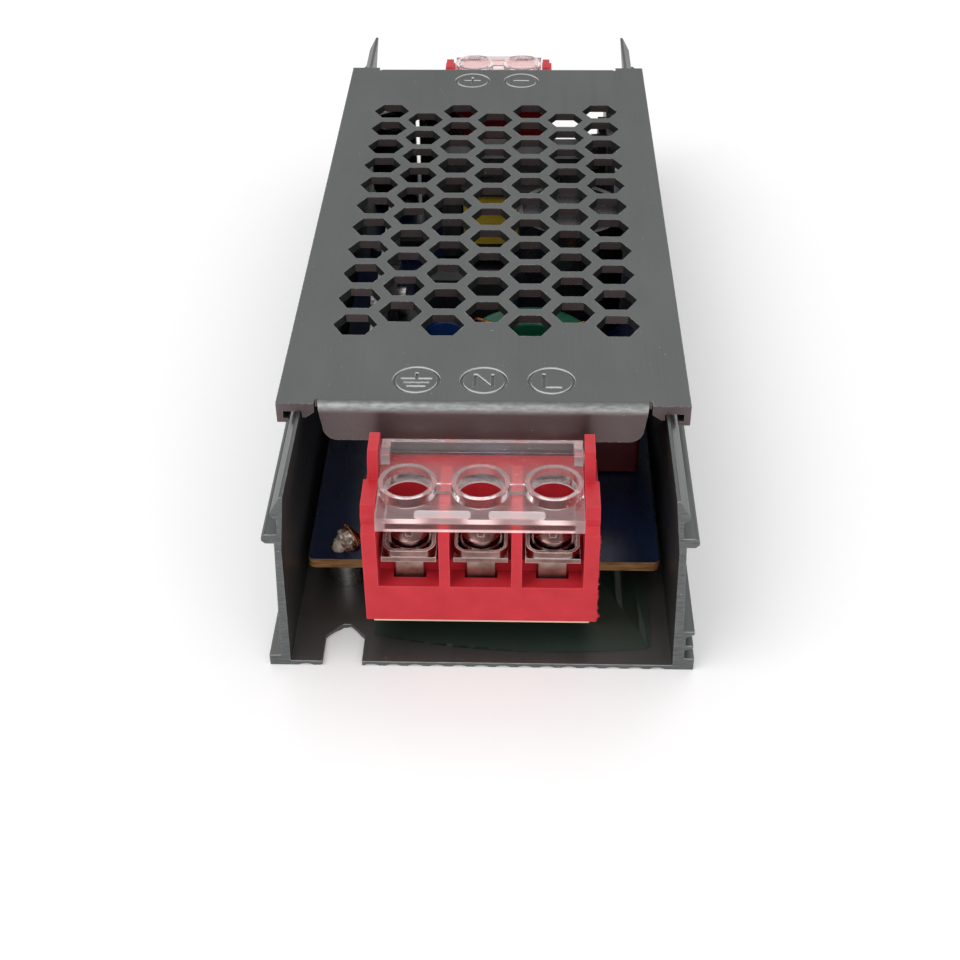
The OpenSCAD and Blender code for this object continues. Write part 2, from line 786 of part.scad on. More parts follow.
module ac_contact_earth() { ac_pole(0) contact(); }
module ac_contact_neutral() { ac_pole(1) contact(); }
module ac_contact_live() { ac_pole(2) contact(); }
module ac_clamp_earth() { ac_pole(0) clamp(); }
module ac_clamp_neutral() { ac_pole(1) clamp(); }
module ac_clamp_live() { ac_pole(2) clamp(); }
module ac_screw_earth() { ac_pole(0) terminal_screw(); }
module ac_screw_neutral() { ac_pole(1) terminal_screw(); }
module ac_screw_live() { ac_pole(2) terminal_screw(); }
module dc_contact_minus() { dc_pole(0) contact(); }
module dc_contact_plus() { dc_pole(1) contact(); }
module dc_clamp_minus() { dc_pole(0) clamp(); }
module dc_clamp_plus() { dc_pole(1) clamp(); }
module dc_screw_minus() { dc_pole(0) terminal_screw(); }
module dc_screw_plus() { dc_pole(1) terminal_screw(); }

// Power parts on the board

module disc_part(r, t, lift) {
  translate([0, 0, r + lift]) rotate([90, 0, 0]) intersection() {
    cylinder(r = r, h = t, center = true);
    union() {
      cylinder(r = r - 0.6, h = t + 1, center = true);
      cylinder(r = r + 1, h = t - 1, center = true);
    }
  }
  for (x = [-2.5, 2.5]) translate([x, 0, 0]) cylinder(r = 0.4, h = lift + r * 0.6);
}

module can(r, h) {
  bead_z = 2.2;
  difference() {
    cylinder(r = r, h = h);
    translate([0, 0, h - 0.5]) cylinder(r = r - 1, h = 1);
    translate([0, 0, bead_z]) rotate_extrude() translate([r + 0.5, 0]) circle(1);
  }
}

module ring_section(r_in, r_out, h) {
  translate([(r_in + r_out) / 2, h / 2]) rounded_square(r_out - r_in, h, 0.8);
}

module ring_core(r, h) {
  translate([0, 0, core_lift]) rotate_extrude() ring_section(r * ring_bore, r, h);
}

module ring_winding(r, h, span, turn) {
  bore = r * ring_bore;
  rotate(turn - span / 2) translate([0, 0, core_lift]) rotate_extrude(angle = span) difference() {
    translate([0, -coil_wire]) ring_section(bore - coil_wire, r + coil_wire, h + 2 * coil_wire);
    ring_section(bore, r, h);
  }
}

module fuse() {
  bevel = 0.35;
  color("saddlebrown") translate(on_board(FUSE)) {
    cylinder(r = fuse_r, h = fuse_h - bevel);
    cylinder(r = fuse_r - bevel, h = fuse_h);
  }
}

module varistor() {
  color("royalblue") translate(on_board(VARISTOR)) disc_part(varistor_r, 4, lead_lift);
}

module inrush_thermistor() {
  color("darkslategray") translate(on_board(THERMISTOR)) disc_part(thermistor_r, 4.4, lead_lift);
}

module film_capacitor() {
  color("maroon") translate(on_board(FILM)) block(film_w, film_d, film_h);
}

module choke_core() {
  color("seagreen") translate(on_board(CHOKE)) ring_core(choke_r, choke_h);
}

module choke_windings() {
  color("peru") translate(on_board(CHOKE)) for (turn = [0, 180]) ring_winding(choke_r, choke_h, 72, turn);
}

module safety_capacitors() {
  color("dodgerblue") for (p = SAFETY) translate(on_board(p)) disc_part(safety_r, 3.6, lead_lift);
}

module bridge_rectifier() {
  color("black") translate(on_board(BRIDGE)) {
    translate([0, 0, 1]) block(14.6, 3.6, 11);
    for (x = [-5.7, -1.9, 1.9, 5.7]) translate([x, 0, 0]) cylinder(r = 0.5, h = 1.5);
  }
}

module bulk_capacitor() {
  color("black") translate(on_board(BULK)) can(bulk_r, bulk_h);
}

module heat_plate(length) {
  foot = 4;
  difference() {
    union() {
      block(plate_t, length, plate_h);
      translate([plate_t / 2, -length / 2, 0]) cube([foot - plate_t, length, 1.2]);
    }
    translate([-5, 0, package_hole_z]) rotate([0, 90, 0]) cylinder(r = 1.6, h = 12);
  }
}

module power_package() {
  body = [package_t, 10, 9.2];
  tab = [package_tab_t, 10, 15.2];
  translate([plate_t / 2, -body[1] / 2, package_lift]) difference() {
    union() {
      cube(tab);
      cube(body);
    }
    translate([-1, tab[1] / 2, package_hole_z - package_lift]) rotate([0, 90, 0]) cylinder(r = 1.7, h = 4);
  }
  for (y = [-2.54, 0, 2.54]) translate([plate_t / 2 + 2.8, y, 0]) block(0.6, 0.9, package_lift + 0.1);
}

module package_screw() {
  translate([plate_t / 2 + package_tab_t, 0, package_hole_z]) rotate([0, 90, 0])
    pan_screw(board_screw_r, 2.2, 1.8, package_tab_t + plate_t + 1.6);
}

module at_primary_plate() {
  translate(on_board(PRIMARY_PLATE)) children();
}

module at_output_plate() {
  translate(on_board(OUTPUT_PLATE)) rotate(180) children();
}

module primary_heat_plate() { color("silver") at_primary_plate() heat_plate(primary_plate_l); }
module switching_transistor() { color("black") at_primary_plate() power_package(); }
module transistor_screw() { color("lightgray") at_primary_plate() package_screw(); }
module output_heat_plate() { color("silver") at_output_plate() heat_plate(output_plate_l); }
module output_rectifier() { color("black") at_output_plate() power_package(); }
module rectifier_screw() { color("lightgray") at_output_plate() package_screw(); }

module dip_part(w, d, leads) {
  translate([0, 0, 0.5]) block(w, d, 3.3);
  for (x = leads, y = [-1, 1]) translate([x, y * (d / 2 + 0.1), 0]) block(0.6, 0.5, 1.6);
}

module controller_chip() {
  color("black") translate(on_board(CHIP)) dip_part(9.4, 6.2, [-3.81, -1.27, 1.27, 3.81]);
}

module optocoupler() {
  color("black") translate(on_board(OPTOCOUPLER)) dip_part(optocoupler_w, 6.4, [-1.27, 1.27]);
}

module transformer_core() {
  window = transformer_w / 2 - 2 * core_leg;
  color("darkslategray") translate(on_board(TRANSFORMER)) translate([0, 0, core_lift]) difference() {
    block(transformer_w, transformer_d, transformer_h);
    for (s = [-1, 1]) translate([s * transformer_w / 4, 0, core_yoke])
      block(window, transformer_d + 2, transformer_h - 2 * core_yoke);
  }
}

// The bore of the bobbin clears the middle leg of the core by this much all round
module bobbin_bore(clearance) {
  square([2 * (core_leg + clearance), transformer_d + 2 * clearance], center = true);
}

module bobbin_flange() {
  linear_extrude(bobbin_t) difference() {
    rounded_square(transformer_w - 2 * core_leg - 0.4, bobbin_d, 1.5);
    bobbin_bore(0.1);
  }
}

module transformer_bobbin() {
  low = core_lift + core_yoke + 0.1;
  tube_h = transformer_h - 2 * core_yoke - 0.2;
  pin_y = transformer_d;
  color("black") translate(on_board(TRANSFORMER)) {
    for (z = [low, low + tube_h - bobbin_t]) translate([0, 0, z]) bobbin_flange();
    for (y = [-pin_y, pin_y]) translate([0, y, 0]) {
      block(transformer_w * 0.72, 4, 1.6);
      for (x = [-7.5, 7.5]) translate([x, 0, 0]) block(2, 2, low + bobbin_t / 2);
    }
    translate([0, 0, low]) linear_extrude(tube_h) difference() {
      bobbin_bore(0.8);
      bobbin_bore(0.1);
    }
  }
}

module transformer_winding() {
  low = core_lift + core_yoke + 0.1 + bobbin_t + 0.1;
  winding_h = transformer_h - 2 * core_yoke - 2 * bobbin_t - 0.4;
  color("gold") translate(on_board(TRANSFORMER)) translate([0, 0, low]) linear_extrude(winding_h)
    difference() {
      rounded_square(transformer_w - 2 * core_leg - 0.9, bobbin_d - 1.2, 3);
      bobbin_bore(0.85);
    }
}

module output_inductor_core() {
  color("goldenrod") translate(on_board(INDUCTOR)) ring_core(inductor_r, inductor_h);
}

module output_inductor_winding() {
  color("peru") translate(on_board(INDUCTOR)) ring_winding(inductor_r, inductor_h, 300, 0);
}

module output_capacitors() {
  color("black") for (p = OUTPUT_CAPS) translate(on_board(p)) can(output_cap_r, output_cap_h);
}

base_channel();
top_cover();
insulation_sheet();
circuit_board();
board_posts();
board_screws();
earth_joint();
solder_joints();
ac_terminal_block();
ac_terminal_flap();
ac_contact_earth();
ac_contact_neutral();
ac_contact_live();
ac_clamp_earth();
ac_clamp_neutral();
ac_clamp_live();
ac_screw_earth();
ac_screw_neutral();
ac_screw_live();
dc_terminal_block();
dc_terminal_flap();
dc_contact_minus();
dc_contact_plus();
dc_clamp_minus();
dc_clamp_plus();
dc_screw_minus();
dc_screw_plus();
fuse();
varistor();
inrush_thermistor();
film_capacitor();
choke_core();
choke_windings();
safety_capacitors();
bridge_rectifier();
bulk_capacitor();
primary_heat_plate();
switching_transistor();
transistor_screw();
controller_chip();
optocoupler();
transformer_core();
transformer_bobbin();
transformer_winding();
output_heat_plate();
output_rectifier();
rectifier_screw();
output_inductor_core();
output_inductor_winding();
output_capacitors();
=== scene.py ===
"""Finish, wire turns, solder, light and camera of the slim AC-DC converter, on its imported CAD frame."""

import json
import math
import random

import bmesh
import bpy
from mathutils import Matrix, Vector, noise


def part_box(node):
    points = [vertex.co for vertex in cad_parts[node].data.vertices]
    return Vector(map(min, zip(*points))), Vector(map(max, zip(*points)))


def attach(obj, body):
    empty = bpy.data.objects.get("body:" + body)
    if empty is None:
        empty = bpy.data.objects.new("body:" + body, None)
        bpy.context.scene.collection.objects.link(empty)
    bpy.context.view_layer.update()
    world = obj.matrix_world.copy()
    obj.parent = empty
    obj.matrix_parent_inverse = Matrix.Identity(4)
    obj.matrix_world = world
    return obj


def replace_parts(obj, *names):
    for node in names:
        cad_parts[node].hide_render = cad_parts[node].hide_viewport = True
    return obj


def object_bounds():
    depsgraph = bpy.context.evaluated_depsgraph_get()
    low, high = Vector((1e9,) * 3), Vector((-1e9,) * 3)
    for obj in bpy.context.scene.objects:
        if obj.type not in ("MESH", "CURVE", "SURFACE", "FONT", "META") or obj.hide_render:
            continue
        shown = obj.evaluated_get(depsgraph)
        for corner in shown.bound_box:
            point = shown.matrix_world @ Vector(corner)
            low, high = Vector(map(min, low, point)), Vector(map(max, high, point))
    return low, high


MM = 0.001

# Places on the part that its finishes look for, in millimetres
MARK_BACK = 6.2  # middle of the row of marks, behind the cover's end
MARK_DEPTH = 4.0  # half the depth of that row
MARK_REACH = 17.9  # half its width
SAWN_BACK = 0.3  # sawn look, in from the part's ends
BENT_FACE_BACK = 15.0  # the cover's bent faces lie further in than this
FLOOR_TOP = 1.5  # the channel's floor lies lower than this
TONGUE_BACK = 0.6  # painted light, cream, on the edge of the board's tongue, behind its front
FLAP_PLATE = 1.2  # thickness of a flap's plate
COLLAR_RISE = 1.4  # collars above the plate
RIB_RISE = 1.6  # rear rib above the plate
RIB_THICK = 0.75  # frosted depth of that rib
CHEEK_LENGTH = 3.7  # from a flap's back to the fronts of its cheeks
PAD_BACK = 1.5  # front pads, behind a flap's front edge
SCUFF_BACK = 3.4  # dull strip of a flap's underside, behind its front edge

# Ring cores: the bore as a share of the outside, and the pitch and radius of the wire in millimetres
RING_BORE = 0.5
COIL_WIRE = 0.9
TURN_RADIUS = COIL_WIRE * 0.47

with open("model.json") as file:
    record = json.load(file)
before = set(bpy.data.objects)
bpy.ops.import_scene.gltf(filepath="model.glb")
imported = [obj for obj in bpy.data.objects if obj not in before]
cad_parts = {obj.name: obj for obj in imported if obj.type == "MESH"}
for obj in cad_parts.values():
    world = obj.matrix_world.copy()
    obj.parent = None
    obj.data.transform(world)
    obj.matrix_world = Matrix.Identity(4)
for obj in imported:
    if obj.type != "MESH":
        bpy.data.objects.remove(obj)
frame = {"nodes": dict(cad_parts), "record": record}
NODES = frame["nodes"]
cad_low, cad_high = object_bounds()


# Shader building

class Finish:
    """A procedural material in the making. Sizes of patterns are in millimetres of the part."""

    def __init__(self, name):
        self.material = bpy.data.materials.new(name)
        self.material.use_nodes = True
        self.tree = self.material.node_tree
        self.tree.nodes.clear()
        self.output = self.node("ShaderNodeOutputMaterial")
        self.shader = self.node("ShaderNodeBsdfPrincipled")
        self.link(self.shader.outputs[0], self.output.inputs["Surface"])
        self.place = self.node("ShaderNodeTexCoord").outputs["Object"]

    def node(self, kind, **settings):
        made = self.tree.nodes.new(kind)
        for key, value in settings.items():
            setattr(made, key, value)
        return made

    def link(self, output, socket):
        self.tree.links.new(output, socket)

    def feed(self, socket, value):
        """Sets a socket, from another node's output or from a plain value."""
        if isinstance(value, bpy.types.NodeSocket):
            self.link(value, socket)
        else:
            socket.default_value = value

    def set(self, **values):
        """Principled sockets by their name in lower case with _ for each space."""
        names = {s.name.lower().replace(" ", "_"): s for s in self.shader.inputs}
        for key, value in values.items():
            self.feed(names[key], value)

    def grain(self, size, stretch=(1, 1, 1), detail=3.0, roughness=0.55):
        """Noise from 0 to 1 whose features measure about size, times stretch along each axis."""
        mapping = self.node("ShaderNodeMapping")
        mapping.inputs["Scale"].default_value = [1 / (size * MM * s) for s in stretch]
        self.link(self.place, mapping.inputs["Vector"])
        texture = self.node("ShaderNodeTexNoise")
        texture.inputs["Scale"].default_value = 1.0
        texture.inputs["Detail"].default_value = detail
        texture.inputs["Roughness"].default_value = roughness
        self.link(mapping.outputs[0], texture.inputs["Vector"])
        return texture.outputs[0]

    def span(self, value, low, high, to_low=0.0, to_high=1.0):
        """Maps low..high to to_low..to_high, clamped."""
        made = self.node("ShaderNodeMapRange", clamp=True)
        self.feed(made.inputs["Value"], value)
        for key, number in (("From Min", low), ("From Max", high), ("To Min", to_low), ("To Max", to_high)):
            made.inputs[key].default_value = number
        return made.outputs[0]

    def math(self, operation, a, b=0.0):
        """The result of one sum on two values."""
        made = self.node("ShaderNodeMath", operation=operation)
        self.feed(made.inputs[0], a)
        self.feed(made.inputs[1], b)
        return made.outputs[0]

    def blend(self, share, a, b):
        """Colour a, turning to colour b as share goes from 0 to 1."""
        made = self.node("ShaderNodeMix", data_type="RGBA")
        self.feed(made.inputs[0], share)
        self.feed(made.inputs[6], a if isinstance(a, bpy.types.NodeSocket) else (*a, 1))
        self.feed(made.inputs[7], b if isinstance(b, bpy.types.NodeSocket) else (*b, 1))
        return made.outputs[2]

    def relief(self, height, depth, strength=1.0):
        """A normal from a height that runs from 0 to 1 over depth millimetres."""
        made = self.node("ShaderNodeBump")
        made.inputs["Strength"].default_value = strength
        made.inputs["Distance"].default_value = depth * MM
        self.link(height, made.inputs["Height"])
        return made.outputs[0]

    def axis(self, name):
        """The part's X, Y or Z, in metres."""
        made = self.node("ShaderNodeSeparateXYZ")
        self.link(self.place, made.inputs[0])
        return made.outputs[name]

    def away(self, name):
        """The part's X, Y or Z without its sign, in metres: how far off the middle plane."""
        return self.math("ABSOLUTE", self.axis(name))

    def near(self, value, middle, reach, soft):
        """1 where value is within reach millimetres of middle, falling to 0 over soft millimetres more."""
        off = self.math("ABSOLUTE", self.math("SUBTRACT", value, middle))
        return self.span(off, (reach + soft) * MM, reach * MM)

    def lean(self, name):
        """How much a face looks along the part's X, Y or Z, either way: 0 to 1."""
        split = self.node("ShaderNodeSeparateXYZ")
        self.link(self.node("ShaderNodeTexCoord").outputs["Normal"], split.inputs[0])
        return self.math("ABSOLUTE", split.outputs[name])

    def facing_up(self):
        """1 on faces that look up or down, 0 on sides."""
        return self.span(self.lean("Z"), 0.4, 0.6)

    def fold(self, operation, shares):
        """One value from several, by the same sum on each in turn."""
        whole = shares[0]
        for share in shares[1:]:
            whole = self.math(operation, whole, share)
        return whole

    def both(self, *shares):
        """The product of several shares: 1 where all of them are 1."""
        return self.fold("MULTIPLY", shares)

    def most(self, *shares):
        """The largest of several shares."""
        return self.fold("MAXIMUM", shares)

    def edges(self, radius):
        """1 along edges, within about radius of them, and 0 on flat faces."""
        rounded = self.node("ShaderNodeBevel", samples=6)
        rounded.inputs["Radius"].default_value = radius * MM
        flat = self.node("ShaderNodeNewGeometry").outputs["Normal"]
        dot = self.node("ShaderNodeVectorMath", operation="DOT_PRODUCT")
        self.link(rounded.outputs[0], dot.inputs[0])
        self.link(flat, dot.inputs[1])
        return self.span(self.math("SUBTRACT", 1.0, dot.outputs["Value"]), 0.01, 0.12)


# Finishes

def pressed_marks(f):
    """1 within the pressed lines of the cover's marks, and 0 elsewhere."""
    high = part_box("top_cover")[1]
    below = f.span(f.axis("Z"), high.z - 0.03 * MM, high.z - 0.06 * MM)
    near_top = f.span(f.axis("Z"), high.z - 0.5 * MM, high.z - 0.4 * MM)
    in_row = f.near(f.away("Y"), high.y - MARK_BACK * MM, MARK_DEPTH, 0.2)
    inside = f.near(f.axis("X"), 0, MARK_REACH, 0.2)
    return f.both(below, near_top, in_row, inside)


def anodised_metal():
    """Dark grey anodised aluminium, drawn lengthwise, with a lighter tone on its sawn ends, a painted red
    reflection on the cover's bent faces, a painted highlight along its bends and painted highlights in its
    pressed marks.
    """
    f = Finish("dark_aluminium")
    lines = f.grain(0.35, stretch=(1, 90, 1), detail=4, roughness=0.7)
    clouds = f.grain(9, stretch=(1, 2.5, 1))
    speckle = f.grain(0.5, detail=5, roughness=0.8)
    tone = f.blend(f.span(lines, 0.3, 0.7), (0.082, 0.088, 0.087), (0.112, 0.119, 0.117))
    tone = f.blend(f.span(clouds, 0.35, 0.75, 0, 0.35), tone, (0.140, 0.145, 0.142))
    at_end = f.span(f.away("Y"), cad_high.y - (SAWN_BACK + 0.1) * MM, cad_high.y - SAWN_BACK * MM)
    sawn = f.both(at_end, f.span(f.lean("Y"), 0.5, 0.8))
    saw_marks = f.span(f.grain(0.3, stretch=(6, 1, 1), detail=4), 0.3, 0.7)
    tone = f.blend(sawn, tone, f.blend(saw_marks, (0.09, 0.095, 0.095), (0.17, 0.18, 0.18)))
    # Painted reflection of the red block on the cover's bent faces: a lighter, reddish grey.
    inward = f.span(f.away("Y"), cad_high.y - BENT_FACE_BACK * MM, cad_high.y - (BENT_FACE_BACK + 2) * MM)
    bent_face_red_reflection = f.both(f.span(f.lean("Y"), 0.85, 0.95), inward)
    tone = f.blend(bent_face_red_reflection, tone, (0.170, 0.132, 0.132))
    low_down = f.span(f.axis("Z"), cad_low.z + (FLOOR_TOP + 0.5) * MM, cad_low.z + FLOOR_TOP * MM)
    drawn_floor = f.both(f.span(f.lean("Z"), 0.8, 0.9), low_down)
    tone = f.blend(drawn_floor, tone, (0.200, 0.195, 0.188))
    # Painted highlight along the bends: light grey streaks where faces turn from level to upright.
    bend_highlight = f.span(f.both(f.lean("Y"), f.lean("Z")), 0.15, 0.48)
    streaks = f.span(f.grain(0.45, stretch=(3, 1, 1), detail=4), 0.3, 0.7, 0.35, 0.85)
    tone = f.blend(f.both(bend_highlight, streaks), tone, (0.46, 0.47, 0.46))
    wear = f.both(f.edges(0.3), f.span(speckle, 0.48, 0.64))
    tone = f.blend(f.both(wear, 0.6), tone, (0.55, 0.55, 0.54))
    marks = pressed_marks(f)
    # Pressed lines: a darker tone inside them, and a painted highlight, near white and not metallic, on their
    # walls.
    mark_highlight = f.both(marks, f.span(f.lean("Z"), 0.8, 0.4))
    tone = f.blend(marks, tone, (0.085, 0.09, 0.09))
    tone = f.blend(mark_highlight, tone, (0.85, 0.86, 0.85))
    dust = f.span(f.grain(0.4, detail=1), 0.785, 0.81)
    tone = f.blend(f.both(dust, 0.6), tone, (0.6, 0.6, 0.58))
    f.set(base_color=tone, metallic=f.span(f.most(dust, mark_highlight), 0, 1, 0.85, 0.0))
    f.set(roughness=f.span(lines, 0.25, 0.75, 0.33, 0.5))
    f.set(normal=f.relief(lines, 0.012, 0.6))
    return f.material


def red_plastic():
    """Satin red moulded plastic, with a painted highlight along its edges."""
    f = Finish("red_plastic")
    mottle = f.grain(3.5)
    skin = f.grain(0.18, detail=4)
    tone = f.blend(f.span(mottle, 0.3, 0.7), (0.52, 0.020, 0.031), (0.60, 0.028, 0.042))
    # Painted highlight: paler red along the edges.
    tone = f.blend(f.both(f.edges(0.3), 0.3), tone, (0.85, 0.12, 0.15))
    f.set(base_color=tone, roughness=f.span(skin, 0.3, 0.7, 0.38, 0.54), specular_ior_level=0.28)
    f.set(subsurface_weight=0.12, subsurface_scale=0.0006, subsurface_radius=(1.0, 0.25, 0.2))
    f.set(normal=f.relief(skin, 0.02, 0.35))
    return f.material


def flap_levels():
    """Heights of the underside, plate top and collar tops of a clear flap, in metres."""
    plate_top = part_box("ac_terminal_flap")[1].z - RIB_RISE * MM
    return plate_top - FLAP_PLATE * MM, plate_top, plate_top + COLLAR_RISE * MM


def frosted_places(f):
    """1 on the pads of a clear flap, less on its rib, cheeks, rims, sides and bores, and 0 elsewhere."""
    low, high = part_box("ac_terminal_flap")
    front, back = -low.y, -high.y
    underside, plate_top, collar_top = flap_levels()
    height, length = f.axis("Z"), f.away("Y")
    level, upright = f.span(f.lean("Z"), 0.5, 0.8), f.span(f.lean("Z"), 0.7, 0.5)
    above_plate = f.span(height, plate_top + 0.05 * MM, plate_top + 0.12 * MM)
    pads = f.both(above_plate, f.span(length, front - (PAD_BACK + 0.1) * MM, front - PAD_BACK * MM))
    rib = f.both(above_plate, f.span(length, back + (RIB_THICK + 0.1) * MM, back + RIB_THICK * MM))
    cheek_fronts = f.both(above_plate, f.near(length, back + CHEEK_LENGTH * MM, 0.15, 0.10))
    rims = f.both(f.span(height, collar_top - 0.15 * MM, collar_top - 0.08 * MM), level)
    sides = f.both(f.span(f.lean("X"), 0.90, 0.97), f.span(height, plate_top, plate_top - 0.1 * MM))
    behind_front = f.span(length, front - 1.0 * MM, front - 1.2 * MM)
    bores = f.both(f.near(height, underside + 0.1 * MM, 0.10, 0.05), behind_front, upright)
    lesser = ((rib, 0.25), (cheek_fronts, 0.9), (rims, 0.4), (sides, 0.7), (bores, 0.8))
    return f.most(pads, *(f.both(place, share) for place, share in lesser))


def flap_front(f):
    """1 on the front face of a clear flap and 0 elsewhere."""
    front = -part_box("ac_terminal_flap")[0].y
    return f.both(f.span(f.lean("Y"), 0.80, 0.95), f.span(f.away("Y"), front - 0.2 * MM, front - 0.1 * MM))


def scuffed_underside(f):
    """1 under the front strip of a clear flap, where its underside is dull, and 0 elsewhere."""
    front = -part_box("ac_terminal_flap")[0].y
    underside = flap_levels()[0]
    low_down = f.span(f.axis("Z"), underside + 0.10 * MM, underside + 0.05 * MM)
    near_front = f.span(f.away("Y"), front - (SCUFF_BACK + 1) * MM, front - SCUFF_BACK * MM)
    return f.both(low_down, near_front, f.span(f.lean("Z"), 0.7, 0.9))


def clear_plastic():
    """Clear plastic, slightly hazy, frosted or dull in places, with a painted pink reflection of the red
    block over it, red on its front face. Lamps shine through.
    """
    f = Finish("clear_plastic")
    scuffs = f.grain(0.5, stretch=(4, 1, 1), detail=5, roughness=0.75)
    speckle = f.grain(0.25, detail=4, roughness=0.7)
    frost, front = frosted_places(f), flap_front(f)
    haze = f.span(speckle, 0.45, 0.75, 0.01, 0.07)
    # Painted reflection of the red block: a pink tint over the flap and in its reflections, and red on its
    # front face.
    f.set(base_color=f.blend(front, (0.95, 0.87, 0.87), (0.80, 0.42, 0.42)))
    f.set(ior=1.40, specular_ior_level=0.35, specular_tint=(0.72, 0.60, 0.60, 1))
    f.set(transmission_weight=f.math("SUBTRACT", 1.0, f.most(haze, f.both(frost, 0.45))))
    dull = (f.both(frost, 0.5), f.both(scuffed_underside(f), 0.32), f.both(front, 0.3))
    f.set(roughness=f.most(f.span(scuffs, 0.40, 0.70, 0.06, 0.30), *dull))
    f.set(normal=f.relief(speckle, 0.02, 0.4))
    passing = f.node("ShaderNodeBsdfTransparent")
    passing.inputs[0].default_value = (0.93, 0.94, 0.94, 1)
    choice = f.node("ShaderNodeMixShader")
    f.link(f.node("ShaderNodeLightPath").outputs["Is Shadow Ray"], choice.inputs[0])
    f.link(f.shader.outputs[0], choice.inputs[1])
    f.link(passing.outputs[0], choice.inputs[2])
    f.link(choice.outputs[0], f.output.inputs["Surface"])
    return f.material


def metal(name, dark, light, rough, line_stretch=(1, 1, 1), line_size=0.3, depth=0.006):
    """Plated or brushed metal with fine lines and cloudy tarnish."""
    f = Finish(name)
    lines = f.grain(line_size, stretch=line_stretch, detail=4, roughness=0.7)
    tarnish = f.grain(2.2, detail=4)
    tone = f.blend(f.span(tarnish, 0.35, 0.7), light, dark)
    f.set(base_color=tone, metallic=1.0)
    f.set(roughness=f.span(lines, 0.3, 0.7, rough, rough + 0.16))
    f.set(normal=f.relief(lines, depth, 0.5))
    return f.material


def clamp_metal():
    """Plating of the wire clamps in dull dark red-brown, partly tarnish and partly a painted reflection of
    the red block, and lighter along its edges.
    """
    f = Finish("chrome")
    tarnish = f.span(f.grain(2.2, detail=4), 0.35, 0.7)
    lines = f.grain(0.4, stretch=(3, 1, 1), detail=4, roughness=0.7)
    # Cloudy dark red-brown: tarnish, with a painted reflection of the red block in its hue.
    tone = f.blend(tarnish, (0.30, 0.175, 0.160), (0.15, 0.078, 0.070))
    tone = f.blend(f.both(f.edges(0.22), 0.85), tone, (0.78, 0.73, 0.70))
    f.set(base_color=tone, metallic=1.0)
    f.set(roughness=f.span(lines, 0.3, 0.7, 0.14, 0.3))
    f.set(normal=f.relief(lines, 0.006, 0.5))
    return f.material


def solder():
    """Dull solder with brown flux in its hollows."""
    f = Finish("solder")
    flux = f.span(f.grain(2.4, detail=2), 0.52, 0.60)
    f.set(base_color=f.blend(flux, (0.80, 0.73, 0.63), (0.22, 0.06, 0.025)))
    f.set(metallic=f.span(flux, 0, 1, 0.7, 0.0))
    f.set(roughness=f.span(f.grain(0.4), 0.3, 0.7, 0.3, 0.5))
    f.set(normal=f.relief(f.grain(0.9, detail=2), 0.05, 0.4))
    return f.material


def board():
    """Dark blue solder mask over faint copper tracks, with a bare brown edge, and painted light in cream on
    the tongue's edge.
    """
    f = Finish("board")
    tracks = f.node("ShaderNodeTexBrick", offset=0.37, squash=1.7, squash_frequency=3)
    mapping = f.node("ShaderNodeMapping")
    mapping.inputs["Scale"].default_value = (1 / MM, 1 / MM, 1 / MM)
    mapping.inputs["Rotation"].default_value = (0, 0, math.radians(90))
    f.link(f.place, mapping.inputs["Vector"])
    f.link(mapping.outputs[0], tracks.inputs["Vector"])
    for key, value in (("Scale", 1.0), ("Mortar Size", 0.22), ("Mortar Smooth", 0.2),
                       ("Brick Width", 9.0), ("Row Height", 3.1)):
        tracks.inputs[key].default_value = value
    copper = tracks.outputs["Fac"]
    mask = f.blend(f.span(f.grain(5), 0.3, 0.7), (0.004, 0.011, 0.045), (0.006, 0.018, 0.070))
    mask = f.blend(f.both(copper, 0.16), mask, (0.003, 0.006, 0.016))
    layers = f.span(f.grain(0.4, stretch=(8, 8, 1)), 0.35, 0.65)
    fibres = f.blend(layers, (0.23, 0.092, 0.024), (0.44, 0.25, 0.10))
    front = -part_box("circuit_board")[0].y
    # Painted light on the tongue's edge: cream in place of the bare brown.
    tongue = f.span(f.away("Y"), front - (TONGUE_BACK + 0.4) * MM, front - TONGUE_BACK * MM)
    fibres = f.blend(tongue, fibres, (0.90, 0.72, 0.50))
    f.set(base_color=f.blend(f.facing_up(), fibres, mask))
    f.set(roughness=f.span(f.facing_up(), 0, 1, 0.75, 0.26))
    f.set(normal=f.relief(copper, 0.008, 0.3))
    return f.material


def film():
    """Thin dark green film with a painted highlight, pale green, on its cut edge. The floor shows through a
    little.
    """
    f = Finish("green_film")
    waves = f.grain(14, stretch=(1, 2, 1))
    face = f.blend(f.span(waves, 0.35, 0.65), (0.026, 0.070, 0.040), (0.046, 0.118, 0.066))
    # Painted highlight: pale green on the film's side faces.
    f.set(base_color=f.blend(f.facing_up(), (0.52, 0.60, 0.44), face))
    f.set(alpha=f.span(f.facing_up(), 0, 1, 1.0, 0.26), specular_ior_level=0.2)
    f.set(roughness=f.span(f.grain(1.2), 0.3, 0.7, 0.12, 0.28))
    f.set(normal=f.relief(waves, 0.15, 0.4))
    return f.material


def moulded(name, dark, light, rough=0.45, size=2.5, coat=0.0):
    """Moulded plastic or dipped coating: cloudy tone, fine skin and, where given, a glossy coat."""
    f = Finish(name)
    skin = f.grain(0.22, detail=4)
    f.set(base_color=f.blend(f.span(f.grain(size), 0.3, 0.7), dark, light))
    f.set(roughness=f.span(skin, 0.3, 0.7, rough - 0.07, rough + 0.08))
    f.set(coat_weight=coat, coat_roughness=0.12)
    f.set(normal=f.relief(skin, 0.02, 0.4))
    return f.material


